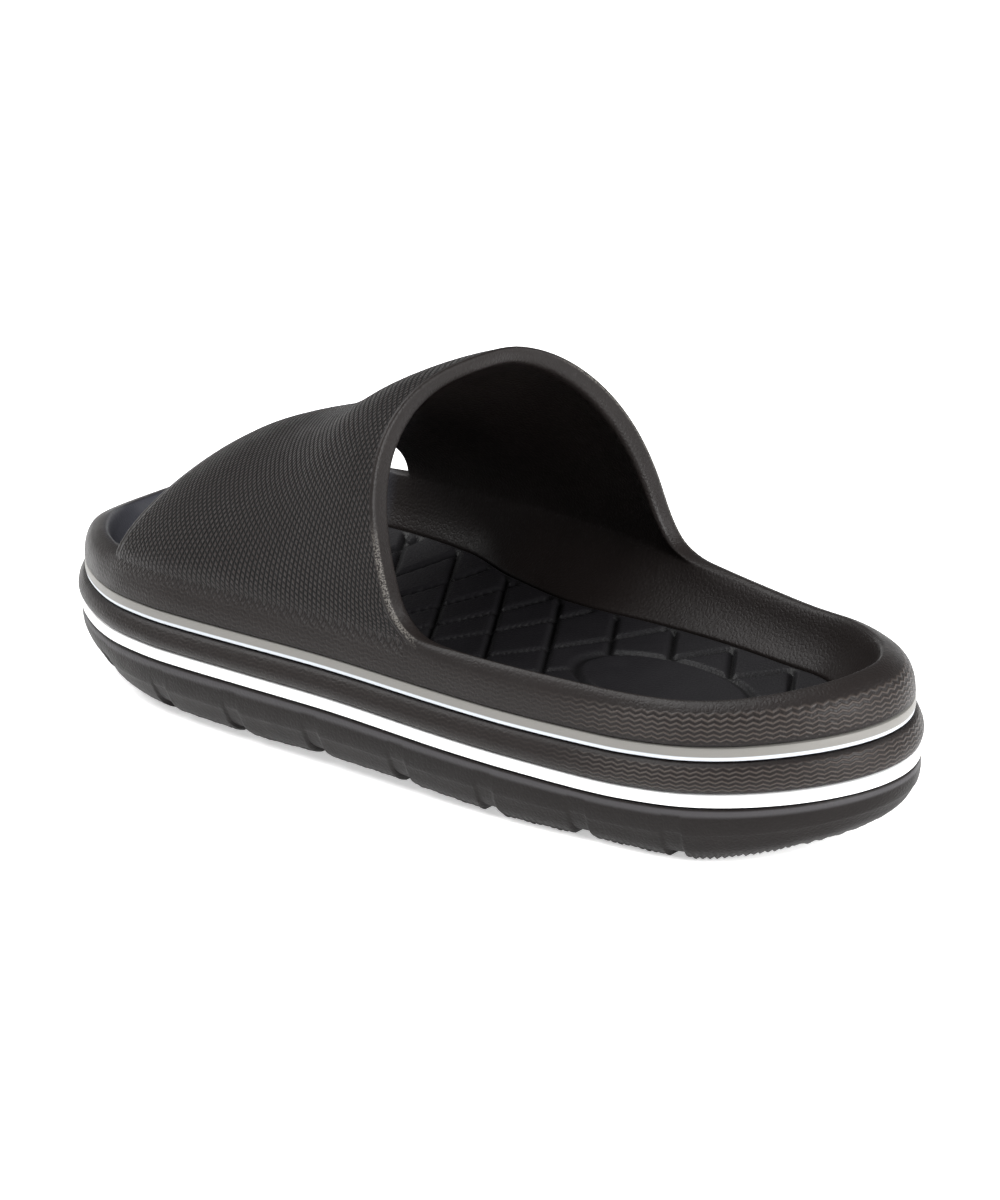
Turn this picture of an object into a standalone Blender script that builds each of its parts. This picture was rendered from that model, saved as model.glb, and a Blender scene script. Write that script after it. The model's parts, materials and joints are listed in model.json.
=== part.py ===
"""Sport slide sandal, left shoe.

The sole is a stack of foam layers with a stripe of white and one of grey round it.
The upper is the strap and the foot cup, moulded whole. A quilted pad lies in the cup.
Units are metres. +X is the inner side of the foot, +Y the toe and +Z up.
"""
import math

import bpy
import numpy as np

# Overall sizes
LENGTH = 0.270
WIDTH = 0.1074
STRAP_HEIGHT = 0.1020
SIDE_SHIFT = 0.0024
LAYER_GAP = 0.0004

# Cuts across the shoe: from the heel end to the strap, along the strap, and on to the toe end
HEEL_CUTS = 17
STRAP_CUTS = 13
TOE_CUTS = 12
TREAD_CUTS = 33
TURN_STEP = 0.004

# The widest line of the side, seen from above.
# Columns: share of the length from the heel, then the outer and the inner side's share of the width
OUTLINE = (
    (0.000, 0.3203, 0.3073),
    (0.158, 0.3808, 0.3939),
    (0.337, 0.4600, 0.4534),
    (0.526, 0.5009, 0.4823),
    (0.717, 0.5270, 0.4730),
    (0.885, 0.4432, 0.4385),
    (1.000, 0.3166, 0.3613),
)
HEEL_ROUND = 0.166
TOE_ROUND = 0.222
TOE_FULLNESS = 2.12

# Heights of the layers.
# Columns: share of the length, underside of the sole, middle of the white stripe, middle of the grey stripe
LEVELS = (
    (0.000, 0.0084, 0.0220, 0.0340),
    (0.050, 0.0046, 0.0203, 0.0322),
    (0.100, 0.0017, 0.0188, 0.0304),
    (0.150, 0.0000, 0.0176, 0.0291),
    (0.210, 0.0000, 0.0167, 0.0281),
    (0.300, 0.0000, 0.0175, 0.0285),
    (0.365, 0.0004, 0.0181, 0.0290),
    (0.528, 0.0008, 0.0197, 0.0302),
    (0.620, 0.0000, 0.0196, 0.0299),
    (0.750, 0.0000, 0.0189, 0.0289),
    (0.838, 0.0024, 0.0177, 0.0274),
    (0.955, 0.0072, 0.0151, 0.0245),
    (1.000, 0.0116, 0.0124, 0.0215),
)
WHITE_HEIGHT = 0.0033
GREY_HEIGHT = 0.0036
STRIPE_DEPTH = 0.0047
GREY_INSET = 0.0016
STRIPE_ROUND = 0.0003

# Side of the outsole. Columns: share of its height, share of the tuck under it
OUTSOLE_SIDE = (
    (0.00, 1.00),
    (0.10, 0.62),
    (0.28, 0.30),
    (0.48, 0.13),
    (0.54, 0.09),
    (0.80, 0.03),
    (1.00, 0.06),
)
# How far the underside is tucked in. Columns: share of the length, tuck
TUCK = (
    (0.000, 0.0100),
    (0.126, 0.0060),
    (0.316, 0.0060),
    (0.474, 0.0090),
    (1.000, 0.0105),
)
MIDSOLE_BULGE = 0.0005
MIDSOLE_BULGE_RISE = 0.35
MIDSOLE_ROUND = 0.0004
MIDSOLE_ROUND_RISE = 0.75
STEP_SLOPE = 0.0001

# Tread: middles of the cross grooves as shares of the length
GROOVES = (0.141, 0.235, 0.332, 0.431, 0.534, 0.633, 0.729, 0.824, 0.906)
GROOVE_WIDTH = 0.0056
GROOVE_DEPTH = 0.0018
GROOVE_FLOOR = 0.4
GROOVE_CLEAR = 1.6

# Rim of the foot cup.
# Columns: share of the length, inset outer side, inset inner side, rise outer side, rise inner side
RIM = (
    (0.000, 0.0100, 0.0100, 0.0122, 0.0122),
    (0.106, 0.0064, 0.0084, 0.0118, 0.0108),
    (0.263, 0.0046, 0.0075, 0.0128, 0.0106),
    (0.443, 0.0046, 0.0062, 0.0124, 0.0112),
    (0.632, 0.0062, 0.0066, 0.0120, 0.0112),
    (0.822, 0.0072, 0.0075, 0.0112, 0.0106),
    (0.940, 0.0078, 0.0080, 0.0100, 0.0098),
    (1.000, 0.0084, 0.0084, 0.0084, 0.0084),
)
# Outer side of the cup, from the grey stripe to the rim.
# Columns: share of the rise, share of the inset at the open rim, share of the inset under the strap
CUP_OUTER = (
    (0.00, 0.00, 0.00),
    (0.28, 0.03, 0.09),
    (0.55, 0.13, 0.24),
    (0.78, 0.34, 0.40),
    (0.93, 0.62, 0.54),
)
# Inner side of the cup, from the rim to the pad.
# Columns: share of the drop, share of the run at the open rim, share of the run under the strap
CUP_INNER = (
    (0.03, 0.11, 0.00),
    (0.16, 0.22, 0.06),
    (0.42, 0.38, 0.24),
    (0.72, 0.64, 0.56),
    (1.00, 1.00, 1.00),
)
# Border of the pad. Columns: share of the length, inset outer side, inset inner side
PAD = (
    (0.000, 0.0165, 0.0165),
    (0.126, 0.0155, 0.0165),
    (0.232, 0.0150, 0.0178),
    (0.337, 0.0155, 0.0209),
    (0.463, 0.0165, 0.0262),
    (0.548, 0.0160, 0.0232),
    (0.632, 0.0150, 0.0160),
    (0.717, 0.0140, 0.0138),
    (0.845, 0.0135, 0.0135),
    (1.000, 0.0135, 0.0135),
)
# Height of the footbed at its border. Columns: share of the length, height
BED = (
    (0.000, 0.0300),
    (0.106, 0.0280),
    (0.212, 0.0265),
    (0.528, 0.0264),
    (0.697, 0.0260),
    (0.845, 0.0250),
    (1.000, 0.0240),
)
PAD_THICKNESS = 0.0040
PAD_DISH = 0.0023
PAD_LIP = 0.0008
PAD_BEVEL = 0.0005

# Strap
STRAP_BACK_OUTER = 0.415
STRAP_BACK_INNER = 0.354
STRAP_FRONT_OUTER = 0.819
STRAP_FRONT_INNER = 0.730
STRAP_WALL = 0.0045
STRAP_SIDE_WALL = 0.0050
STRAP_BLEND = 0.045
# Columns: share of the strap from its back edge, share of its greatest height, side bulge,
# forward sweep, then the leanness of the outer and the inner shoulder (1 is an ellipse, less is fuller)
STRAP = (
    (0.00, 1.0000, 0.0030, 0.0165, 0.76, 0.96),
    (0.10, 0.9686, 0.0018, 0.0190, 0.77, 0.94),
    (0.20, 0.9216, 0.0010, 0.0196, 0.79, 0.92),
    (0.35, 0.8431, 0.0003, 0.0166, 0.84, 0.92),
    (0.50, 0.7814, 0.0000, 0.0128, 0.92, 0.92),
    (0.62, 0.7422, 0.0000, 0.0097, 1.02, 0.92),
    (0.75, 0.7098, 0.0000, 0.0064, 1.14, 0.92),
    (0.88, 0.6716, 0.0000, 0.0031, 1.27, 0.92),
    (1.00, 0.6275, 0.0000, 0.0000, 1.38, 0.90),
)
STRAP_EDGE_ROUND = 0.0016
COLLAR_FILLET = 0.0090
FILLET_HEIGHT = 0.0140
FILLET_FADE = 0.25
# Turn of the points over the strap, from the outer side to its top, in degrees
STRAP_TURNS = (3.0, 7.0, 12.0, 19.0, 28.0, 39.0, 51.0, 64.0, 77.0)

MATERIALS = {
    "outsole_foam": (0.016, 0.014, 0.013, 0.62),
    "midsole_foam": (0.016, 0.014, 0.013, 0.60),
    "upper_foam": (0.016, 0.014, 0.013, 0.58),
    "footbed_foam": (0.018, 0.018, 0.020, 0.70),
    "white_foam": (0.90, 0.90, 0.90, 0.45),
    "grey_foam": (0.37, 0.35, 0.33, 0.50),
}


def curve(table, column, share):
    """Value of one column of a table at a share, without overshoot between the rows."""
    rows = np.array(table, dtype=float)
    x = rows[:, 0]
    y = rows[:, column]
    step = np.diff(x)
    slope = np.diff(y) / step
    tangent = np.empty(len(x))
    tangent[0] = slope[0]
    tangent[-1] = slope[-1]
    for k in range(1, len(x) - 1):
        before = slope[k - 1]
        after = slope[k]
        if before * after <= 0.0:
            tangent[k] = 0.0
            continue
        first = 2.0 * step[k] + step[k - 1]
        second = step[k] + 2.0 * step[k - 1]
        tangent[k] = (first + second) / (first / before + second / after)
    share = np.clip(np.asarray(share, dtype=float), x[0], x[-1])
    cell = np.clip(np.searchsorted(x, share, side="right") - 1, 0, len(x) - 2)
    t = (share - x[cell]) / step[cell]
    start = (1.0 + 2.0 * t) * (1.0 - t) ** 2 * y[cell]
    leave = t * (1.0 - t) ** 2 * step[cell] * tangent[cell]
    end = t * t * (3.0 - 2.0 * t) * y[cell + 1]
    arrive = t * t * (t - 1.0) * step[cell] * tangent[cell + 1]
    return start + leave + end + arrive


def two_sided(table, outer, inner, turn):
    """Column for the side of the foot on which each turn lies."""
    share = share_of(turn)
    return np.where(turn >= 0.0, curve(table, inner, share), curve(table, outer, share))


def share_of(turn):
    """Share of the length from the heel; the turn runs from 0 at the heel to pi at the toe."""
    return (1.0 - np.cos(turn)) / 2.0


def turn_of(share):
    return math.acos(1.0 - 2.0 * share)


def outline(turn):
    """Points of the widest line, moved sideways so that the shoe's box is centred."""
    share = share_of(turn)
    inner = turn >= 0.0
    half = WIDTH * np.where(inner, curve(OUTLINE, 2, share), -curve(OUTLINE, 1, share))
    heel = np.clip((HEEL_ROUND - share) / HEEL_ROUND, 0.0, 1.0)
    toe = np.clip((share - 1.0 + TOE_ROUND) / TOE_ROUND, 0.0, 1.0)
    close = np.sqrt(1.0 - heel ** 2) * (1.0 - toe ** TOE_FULLNESS) ** (1.0 / TOE_FULLNESS)
    return np.stack([half * close + SIDE_SHIFT, (share - 0.5) * LENGTH], axis=1)


def wrap(turn):
    """Turns brought back between minus pi and pi."""
    return (turn + math.pi) % (2.0 * math.pi) - math.pi


def offset(turn, inset):
    """Points of the outline moved inwards at a right angle to it."""
    tangent = outline(wrap(turn + TURN_STEP)) - outline(wrap(turn - TURN_STEP))
    tangent /= np.linalg.norm(tangent, axis=1)[:, None]
    inward = np.stack([-tangent[:, 1], tangent[:, 0]], axis=1)
    return outline(turn) + inward * np.reshape(inset, (-1, 1))


def ring(turn, inset, height):
    """One closed row of points round the shoe. A height function is read at each point's own share."""
    flat = offset(turn, inset * np.ones(len(turn)))
    if callable(height):
        height = height(flat[:, 1] / LENGTH + 0.5)
    return np.column_stack([flat, height * np.ones(len(turn))])


def cuts():
    """Turns of all columns: along the inner side from heel to toe, then back along the outer side."""
    sides = []
    ends = ((STRAP_BACK_INNER, STRAP_FRONT_INNER), (STRAP_BACK_OUTER, STRAP_FRONT_OUTER))
    for back, front in ends:
        heel = np.linspace(0.0, turn_of(back), HEEL_CUTS + 1)
        strap = [turn_of(share) for share in np.linspace(back, front, STRAP_CUTS + 1)]
        toe = np.linspace(turn_of(front), math.pi, TOE_CUTS + 1)
        sides.append(np.concatenate([heel, strap[1:], toe[1:]]))
    inner, outer = sides
    return np.concatenate([inner, -outer[-2:0:-1]])


def tread_cuts():
    """Turns for the outsole: the even cuts, and four more for each groove of the tread."""
    shares = [share_of(t) for t in np.linspace(0.0, math.pi, TREAD_CUTS)]
    half = GROOVE_WIDTH / 2.0 / LENGTH
    for middle in GROOVES:
        floor = GROOVE_FLOOR * half
        shares = [s for s in shares if abs(s - middle) > GROOVE_CLEAR * half]
        shares += [middle - half, middle - floor, middle + floor, middle + half]
    inner = np.array([turn_of(share) for share in sorted(shares)])
    return np.concatenate([inner, -inner[-2:0:-1]])


def level(column, shift=0.0):
    """Height of a layer as a function of the share of the length."""
    return lambda share: curve(LEVELS, column, share) + shift


def bed(shift=0.0):
    """Height of the footbed as a function of the share of the length."""
    return lambda share: curve(BED, 1, share) + shift


def between(low, high, part):
    return lambda share: low(share) + (high(share) - low(share)) * part


class Solid:
    """Points and faces of one closed body."""

    def __init__(self):
        self.points = []
        self.faces = []

    def add(self, points):
        first = len(self.points)
        self.points += [tuple(float(c) for c in p) for p in points]
        return list(range(first, len(self.points)))

    def loop_band(self, low, high):
        """Faces between two closed rows, outward when the rows run round and the second is higher."""
        count = len(low)
        for k in range(count):
            n = (k + 1) % count
            self.faces.append((low[k], low[n], high[n], high[k]))

    def strip(self, first, second):
        """Faces between two open rows; a row of one point closes the end."""
        if len(first) == 1:
            for k in range(len(second) - 1):
                self.faces.append((first[0], second[k + 1], second[k]))
            return
        if len(second) == 1:
            for k in range(len(first) - 1):
                self.faces.append((first[k], first[k + 1], second[0]))
            return
        for k in range(len(first) - 1):
            self.faces.append((first[k], first[k + 1], second[k + 1], second[k]))

    def cap(self, row, fractions, shape=None, upward=True):
        """Closes a row with strips across the shoe. The shape lifts the points between the sides."""
        half = len(row) // 2
        lines = []
        for k in range(half + 1):
            if k in (0, half):
                lines.append([row[k]])
                continue
            left = np.array(self.points[row[-k]])
            right = np.array(self.points[row[k]])
            between = []
            for fraction in fractions:
                point = left + (right - left) * fraction
                if shape:
                    point[2] += shape(fraction, right[0] - left[0])
                between.append(point)
            lines.append([row[-k]] + self.add(between) + [row[k]])
        for k in range(half):
            first, second = lines[k], lines[k + 1]
            if not upward:
                first, second = first[::-1], second[::-1]
            self.strip(first, second)

    def build(self, name, material, collection):
        mesh = bpy.data.meshes.new(name)
        mesh.from_pydata(self.points, [], self.faces)
        mesh.update()
        mesh.materials.append(material)
        body = bpy.data.objects.new(name, mesh)
        collection.objects.link(body)
        return body


def material(name):
    red, green, blue, roughness = MATERIALS[name]
    made = bpy.data.materials.new(name)
    made.use_nodes = True
    shader = made.node_tree.nodes["Principled BSDF"]
    shader.inputs["Base Color"].default_value = (red, green, blue, 1.0)
    shader.inputs["Roughness"].default_value = roughness
    return made


def outsole():
    """Bottom layer with its tread: the underside is raised inside each groove."""
    turn = tread_cuts()
    share = share_of(turn)
    top = level(2, -WHITE_HEIGHT / 2.0 - LAYER_GAP)
    half = GROOVE_WIDTH / 2.0 / LENGTH
    groove = np.zeros(len(turn))
    for middle in GROOVES:
        groove[np.abs(share - middle) < (1.0 + GROOVE_FLOOR) / 2.0 * half] = GROOVE_DEPTH
    tuck = curve(TUCK, 1, share)
    solid = Solid()
    rows = []
    for rise, pull in OUTSOLE_SIDE:
        row = ring(turn, tuck * pull, between(level(1), top, rise))
        row[:, 2] += groove * (1.0 - rise)
        rows.append(solid.add(row))
    for low, high in zip(rows, rows[1:]):
        solid.loop_band(low, high)
    solid.cap(rows[0], (0.25, 0.5, 0.75), upward=False)
    solid.cap(rows[-1], ())
    return solid


def stripe(column, height, inset):
    """Closed band round the shoe, a little rounded on its outer side."""
    turn = cuts()
    solid = Solid()
    section = (
        (STRIPE_DEPTH, -0.5),
        (STRIPE_ROUND, -0.5),
        (0.0, 0.0),
        (STRIPE_ROUND, 0.5),
        (STRIPE_DEPTH, 0.5),
    )
    rows = [solid.add(ring(turn, inset + depth, level(column, height * part))) for depth, part in section]
    for low, high in zip(rows, rows[1:] + rows[:1]):
        solid.loop_band(low, high)
    return solid


def midsole():
    """Layer between the stripes, with the core inside the white one and the bed under the pad."""
    turn = cuts()
    low = level(2, -WHITE_HEIGHT / 2.0)
    ledge = level(2, WHITE_HEIGHT / 2.0 + LAYER_GAP)
    top = level(3, -GREY_HEIGHT / 2.0 - LAYER_GAP)
    core = STRIPE_DEPTH + LAYER_GAP
    step = GREY_INSET + STRIPE_DEPTH + LAYER_GAP
    solid = Solid()
    profile = (
        (core, low),
        (core, ledge),
        (MIDSOLE_ROUND, ledge),
        (-MIDSOLE_BULGE, between(ledge, top, MIDSOLE_BULGE_RISE)),
        (MIDSOLE_ROUND, between(ledge, top, MIDSOLE_ROUND_RISE)),
        (GREY_INSET, top),
        (step, top),
        (step + STEP_SLOPE, bed(-PAD_THICKNESS - LAYER_GAP)),
    )
    rows = [solid.add(ring(turn, inset, height)) for inset, height in profile]
    for below, above in zip(rows, rows[1:]):
        solid.loop_band(below, above)
    solid.cap(rows[0], (), upward=False)
    solid.cap(rows[-1], ())
    return solid


def insole():
    """Pad of the footbed, a little hollow across."""
    turn = cuts()
    inset = two_sided(PAD, 1, 2, turn) + LAYER_GAP
    solid = Solid()
    rows = [
        solid.add(ring(turn, inset, bed(-PAD_THICKNESS))),
        solid.add(ring(turn, inset, bed(-PAD_BEVEL))),
        solid.add(ring(turn, inset + PAD_BEVEL, bed())),
    ]
    for below, above in zip(rows, rows[1:]):
        solid.loop_band(below, above)
    solid.cap(rows[0], (), upward=False)

    def dish(fraction, width):
        return -PAD_DISH * 4.0 * fraction * (1.0 - fraction) * width / WIDTH

    solid.cap(rows[-1], (0.2, 0.4, 0.6, 0.8), dish)
    return solid


def under_strap(turn):
    """How far each column of the cup belongs to the strap: 1 under it, 0 at the open rim."""
    share = share_of(turn)
    back = np.where(turn >= 0.0, STRAP_BACK_INNER, STRAP_BACK_OUTER)
    front = np.where(turn >= 0.0, STRAP_FRONT_INNER, STRAP_FRONT_OUTER)
    past = np.minimum(share - back, front - share)
    t = np.clip(past / STRAP_BLEND + 1.0, 0.0, 1.0)
    return t * t * (3.0 - 2.0 * t)


def strap_section(left, right, part, wall):
    """Points over the strap between two points of the rim, from the outer side to the inner side."""
    top = STRAP_HEIGHT * float(curve(STRAP, 1, part)) - wall
    bulge = float(curve(STRAP, 2, part))
    sweep = float(curve(STRAP, 3, part))
    outer_lean = float(curve(STRAP, 4, part))
    inner_lean = float(curve(STRAP, 5, part))
    fillet = COLLAR_FILLET * max(0.0, 1.0 - part / FILLET_FADE) ** 2
    turns = [math.radians(t) for t in STRAP_TURNS]
    turns = turns + [math.pi / 2.0] + [math.pi - t for t in reversed(turns)]
    points = []
    for t in turns:
        lean = outer_lean if t <= math.pi / 2.0 else inner_lean
        side = math.copysign(abs(math.cos(t)) ** lean, -math.cos(t))
        rise = math.sin(t) ** lean
        fraction = (side + 1.0) / 2.0
        base = left + (right - left) * fraction
        x = base[0] + bulge * side * math.sin(2.0 * min(t, math.pi - t))
        z = base[2] + (top - base[2]) * rise
        climb = min(max((z - base[2]) / FILLET_HEIGHT, 0.0), 1.0)
        y = base[1] + fillet * math.sqrt(1.0 - (1.0 - climb) ** 2) + sweep * rise
        points.append(np.array([x, y, z]))
    return points


def upper():
    """Strap and foot cup in one: open at the collar, at the toe and underneath."""
    turn = cuts()
    share = share_of(turn)
    count = len(turn)
    grey = level(3)(share)
    base = grey + GREY_HEIGHT / 2.0 + LAYER_GAP
    rim_inset = two_sided(RIM, 1, 2, turn)
    rim_top = grey + two_sided(RIM, 3, 4, turn)
    pad_inset = two_sided(PAD, 1, 2, turn)
    pad_top = ring(turn, pad_inset, bed(PAD_LIP))[:, 2]
    skirt = GREY_INSET + STRIPE_DEPTH + 2.0 * LAYER_GAP + STEP_SLOPE
    under = under_strap(turn)

    solid = Solid()
    outer = []
    for rise, pull, strap_pull in CUP_OUTER:
        inset = GREY_INSET + (rim_inset - GREY_INSET) * (pull + (strap_pull - pull) * under)
        outer.append(solid.add(ring(turn, inset, base + (rim_top - base) * rise)))
    wall = GREY_INSET + (rim_inset - GREY_INSET) * CUP_OUTER[-1][2] + STRAP_SIDE_WALL
    inner = []
    for drop, run, strap_run in CUP_INNER:
        open_inset = rim_inset + (pad_inset - rim_inset) * run
        strap_inset = wall + (pad_inset - wall) * strap_run
        inset = open_inset + (strap_inset - open_inset) * under
        inner.append(solid.add(ring(turn, inset, rim_top - (rim_top - pad_top) * drop)))
    foot = solid.add(ring(turn, pad_inset, bed(-PAD_THICKNESS)))
    step = solid.add(ring(turn, skirt, bed(-PAD_THICKNESS)))
    ledge = solid.add(ring(turn, skirt, level(3, GREY_HEIGHT / 2.0 + LAYER_GAP)))
    for low, high in zip(outer, outer[1:]):
        solid.loop_band(low, high)
    for high, low in zip(inner, inner[1:]):
        solid.loop_band(high, low)
    solid.loop_band(inner[-1], foot)
    solid.loop_band(foot, step)
    solid.loop_band(step, ledge)
    solid.loop_band(ledge, outer[0])

    # Strap, section by section from its back edge to its front edge
    first = HEEL_CUTS
    last = HEEL_CUTS + STRAP_CUTS
    outside = []
    inside = []
    for k in range(first, last + 1):
        part = (k - first) / STRAP_CUTS
        left = np.array(solid.points[outer[-1][-k]])
        right = np.array(solid.points[outer[-1][k]])
        over = solid.add(strap_section(left, right, part, 0.0))
        outside.append([outer[-1][-k]] + over + [outer[-1][k]])
        left = np.array(solid.points[inner[0][-k]])
        right = np.array(solid.points[inner[0][k]])
        under = solid.add(strap_section(left, right, part, STRAP_WALL))
        inside.append([inner[0][-k]] + under + [inner[0][k]])
    for a, b in zip(outside, outside[1:]):
        solid.strip(a, b)
    for a, b in zip(inside, inside[1:]):
        solid.strip(a[::-1], b[::-1])

    # Rounded edge of the rim and of both ends of the strap, as two closed loops
    crest = {}
    tops = ring(turn, rim_inset, rim_top)
    for k in range(count):
        if first < k < last or first < count - k < last:
            continue
        crest[k] = solid.add([tops[k]])[0]

    def edge(row_out, row_in, push, ends):
        made = []
        for a, b in zip(row_out[1:-1], row_in[1:-1]):
            middle = (np.array(solid.points[a]) + np.array(solid.points[b])) / 2.0
            middle[1] += push
            made.append(middle)
        return [ends[0]] + solid.add(made) + [ends[1]]

    back = edge(outside[0], inside[0], -STRAP_EDGE_ROUND, (crest[count - first], crest[first]))
    front = edge(outside[-1], inside[-1], STRAP_EDGE_ROUND, (crest[count - last], crest[last]))
    solid.strip(back, outside[0])
    solid.strip(inside[0], back)
    solid.strip(outside[-1], front)
    solid.strip(front, inside[-1])

    runs = (range(-first, first), range(last, count - last))
    for run in runs:
        for k in run:
            a = k % count
            b = (k + 1) % count
            solid.faces.append((outer[-1][a], outer[-1][b], crest[b], crest[a]))
            solid.faces.append((crest[a], crest[b], inner[0][b], inner[0][a]))
    return solid


def main():
    for old in list(bpy.data.objects):
        bpy.data.objects.remove(old, do_unlink=True)
    collection = bpy.data.collections.new("sport_slide_sandal")
    bpy.context.scene.collection.children.link(collection)
    outsole().build("outsole", material("outsole_foam"), collection)
    stripe(2, WHITE_HEIGHT, 0.0).build("white_stripe", material("white_foam"), collection)
    midsole().build("midsole", material("midsole_foam"), collection)
    stripe(3, GREY_HEIGHT, GREY_INSET).build("grey_stripe", material("grey_foam"), collection)
    upper().build("upper", material("upper_foam"), collection)
    insole().build("insole", material("footbed_foam"), collection)


main()
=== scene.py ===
import json
import math

import bpy
import numpy as np
from mathutils import Euler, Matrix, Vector

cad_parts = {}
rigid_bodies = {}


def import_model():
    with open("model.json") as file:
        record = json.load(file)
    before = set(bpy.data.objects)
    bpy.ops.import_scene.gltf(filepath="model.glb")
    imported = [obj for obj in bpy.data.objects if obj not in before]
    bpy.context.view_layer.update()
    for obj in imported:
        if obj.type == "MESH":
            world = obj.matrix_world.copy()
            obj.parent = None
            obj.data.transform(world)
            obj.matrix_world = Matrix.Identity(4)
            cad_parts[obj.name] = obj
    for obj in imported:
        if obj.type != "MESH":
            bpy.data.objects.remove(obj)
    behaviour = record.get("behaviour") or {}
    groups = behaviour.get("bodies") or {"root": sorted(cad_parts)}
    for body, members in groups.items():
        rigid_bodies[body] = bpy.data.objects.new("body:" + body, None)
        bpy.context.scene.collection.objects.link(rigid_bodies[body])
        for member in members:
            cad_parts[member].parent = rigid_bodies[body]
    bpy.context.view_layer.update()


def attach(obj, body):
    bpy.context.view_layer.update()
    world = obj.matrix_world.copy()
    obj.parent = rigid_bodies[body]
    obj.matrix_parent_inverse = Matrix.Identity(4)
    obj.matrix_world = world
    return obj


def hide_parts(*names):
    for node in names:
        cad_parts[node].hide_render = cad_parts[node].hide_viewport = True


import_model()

# Sizes of the shoe in metres. +X is the inner side of the foot, +Y the toe and +Z up.
LENGTH = 0.270
SIDE_SHIFT = 0.0024
LAYER_GAP = 0.0004
TURN_STEP = 0.004

# Widest line of the side, seen from above: share of the length, half width outer and inner side
OUTLINE = (
    (0.000, 0.0344, 0.0330),
    (0.158, 0.0409, 0.0423),
    (0.337, 0.0494, 0.0487),
    (0.526, 0.0538, 0.0518),
    (0.717, 0.0566, 0.0508),
    (0.885, 0.0476, 0.0471),
    (1.000, 0.0340, 0.0388),
)
HEEL_ROUND = 0.166
TOE_ROUND = 0.222
TOE_FULLNESS = 2.12

# Heights: share of the length, underside, middle of the white stripe, middle of the grey stripe
LEVELS = (
    (0.000, 0.0084, 0.0220, 0.0340),
    (0.050, 0.0046, 0.0203, 0.0322),
    (0.100, 0.0017, 0.0188, 0.0304),
    (0.150, 0.0000, 0.0176, 0.0291),
    (0.210, 0.0000, 0.0167, 0.0281),
    (0.300, 0.0000, 0.0175, 0.0285),
    (0.365, 0.0004, 0.0181, 0.0290),
    (0.528, 0.0008, 0.0197, 0.0302),
    (0.620, 0.0000, 0.0196, 0.0299),
    (0.750, 0.0000, 0.0189, 0.0289),
    (0.838, 0.0024, 0.0177, 0.0274),
    (0.955, 0.0072, 0.0151, 0.0245),
    (1.000, 0.0116, 0.0124, 0.0215),
)
WHITE_HEIGHT = 0.0033
GREY_HEIGHT = 0.0036
STRIPE_DEPTH = 0.0047
GREY_INSET = 0.0016

# Side of the outsole: share of its height, share of the tuck under it
OUTSOLE_SIDE = (
    (0.00, 1.00),
    (0.03, 0.86),
    (0.10, 0.62),
    (0.28, 0.30),
    (0.46, 0.15),
    (0.53, 0.095),
    (0.56, 0.066),
    (0.80, 0.015),
    (0.95, 0.025),
    (1.00, 0.06),
)
# Tuck of the outsole under its side: share of the length, depth
TUCK = (
    (0.000, 0.0100),
    (0.126, 0.0060),
    (0.316, 0.0060),
    (0.474, 0.0090),
    (1.000, 0.0105),
)
# Middle of each cross groove, as a share of the length
GROOVES = (0.141, 0.235, 0.332, 0.431, 0.534, 0.633, 0.729, 0.824, 0.906)
GROOVE_WIDTH = 0.0056
GROOVE_DEPTH = 0.0018
# Fine teeth along the lower edge of the lugs, and the share of the height over which they fade out
TOOTH_PITCH = 0.0019
TOOTH_DEPTH = 0.0010
TOOTH_INTO_SIDE = 0.7
TOOTH_REACH_UP = 0.14
TOOTH_REACH_SIDE = 0.24
# Turns where the rounded heel and toe of the outsole give way to the evenly spaced teeth
TEETH_FROM = 0.42
TEETH_TO = 2.72
OUTSOLE_ROWS = (
    *(0.0, 0.015, 0.04, 0.08, 0.13),
    *np.linspace(0.20, 0.50, 8),
    *(0.53, 0.545, 0.56),
    *np.linspace(0.62, 0.95, 7),
    *(0.98, 1.0),
)
# Height given to the side of the outsole, and to the middle layer, in their flat maps
OUTSOLE_MAP_HEIGHT = 0.018
MIDSOLE_MAP_HEIGHT = 0.0085
# Half of a stripe's section: depth from its face, share of its height
STRIPE_SECTION = (
    (STRIPE_DEPTH, -0.50),
    (0.0012, -0.50),
    (0.0005, -0.48),
    (0.0002, -0.42),
    (0.0001, -0.30),
    (0.0, -0.15),
    (0.0, 0.0),
)
BAND_CUTS = 190

# Side of the middle layer: share of its height, inset
MIDSOLE_SIDE = (
    (0.00, 0.0008),
    (0.05, 0.0001),
    (0.35, -0.0005),
    (0.75, 0.0004),
    (0.94, 0.0012),
    (1.00, 0.0018),
)
MIDSOLE_ROWS = (0.0, 0.02, 0.05, 0.12, 0.22, 0.35, 0.5, 0.62, 0.75, 0.86, 0.94, 0.98, 1.0)

# Rim of the foot cup: share of the length, inset outer and inner side, rise outer and inner side
RIM = (
    (0.000, 0.0100, 0.0100, 0.0122, 0.0122),
    (0.106, 0.0064, 0.0084, 0.0118, 0.0108),
    (0.263, 0.0046, 0.0075, 0.0128, 0.0106),
    (0.443, 0.0046, 0.0062, 0.0124, 0.0112),
    (0.632, 0.0062, 0.0066, 0.0120, 0.0112),
    (0.822, 0.0072, 0.0075, 0.0112, 0.0106),
    (0.940, 0.0078, 0.0080, 0.0100, 0.0098),
    (1.000, 0.0084, 0.0084, 0.0084, 0.0084),
)
# Outer side of the cup: share of the rise, share of the inset at the open rim, and under the strap
CUP_OUTER = (
    (0.00, 0.00, 0.00),
    (0.28, 0.03, 0.09),
    (0.55, 0.13, 0.24),
    (0.78, 0.34, 0.40),
    (0.93, 0.62, 0.54),
)
CUP_OUTER_ROWS = (0.0, 0.03, 0.14, 0.28, 0.42, 0.55, 0.67, 0.78, 0.86, 0.93)
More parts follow.
